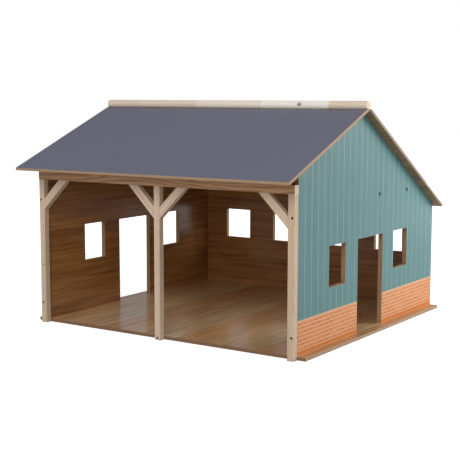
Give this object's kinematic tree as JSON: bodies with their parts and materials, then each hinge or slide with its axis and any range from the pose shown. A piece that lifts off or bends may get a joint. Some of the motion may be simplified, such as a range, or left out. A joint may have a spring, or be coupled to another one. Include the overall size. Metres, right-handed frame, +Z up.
{
  "type": "toy barn",
  "caption": "Open-fronted toy barn: printed board gables with doorway and windows, timber posts with braces, and a front roof board that lifts on a wooden dowel hinge.",
  "frame": {"origin": "centre of the floor board's underside, on the surface that the barn stands on", "axes": "+X along the eaves towards the right gable, +Y from the open front to the back wall, +Z up"},
  "size_m": [0.592, 0.6127, 0.4225],
  "materials": {
    "floor_veneer": "satin brown wood print",
    "wall_board": "matt printed fibreboard, green cladding over a brick base outside, brown wood print inside",
    "pine": "sanded bare pine",
    "brown_board": "satin brown wood print",
    "roof_board": "matt slate grey print",
    "dowel_wood": "sanded bare pine",
    "bright_steel": "drawn wire",
    "screw_steel": "dark zinc"
  },
  "bodies": {
    "barn": {"floor_board": "floor_veneer", "left_gable": "wall_board", "right_gable": "wall_board", "back_wall": "wall_board", "left_post": "pine", "middle_post": "pine", "right_post": "pine", "front_beam": "pine", "left_bay_left_brace": "pine", "left_bay_right_brace": "pine", "right_bay_left_brace": "pine", "right_bay_right_brace": "pine", "tie_board": "brown_board", "rear_roof": "roof_board", "ridge_dowel_2": "dowel_wood", "ridge_dowel_4": "dowel_wood", "hinge_pin": "bright_steel", "post_screws": "screw_steel", "foot_screw": "screw_steel", "beam_screws": "screw_steel", "tie_screws": "screw_steel", "floor_screws": "screw_steel", "corner_dowels": "dowel_wood", "roof_pins": "bright_steel"},
    "front_roof": {"front_roof": "roof_board", "ridge_dowel_1": "dowel_wood", "ridge_dowel_3": "dowel_wood", "ridge_dowel_5": "dowel_wood"}
  },
  "joints": [
    {"name": "front_roof_hinge", "type": "hinge", "parent": "barn", "child": "front_roof", "pos_m": [0, -0.0535, 0.4145], "axis": [-1, 0, 0], "range_deg": [0, 233]}
  ]
}
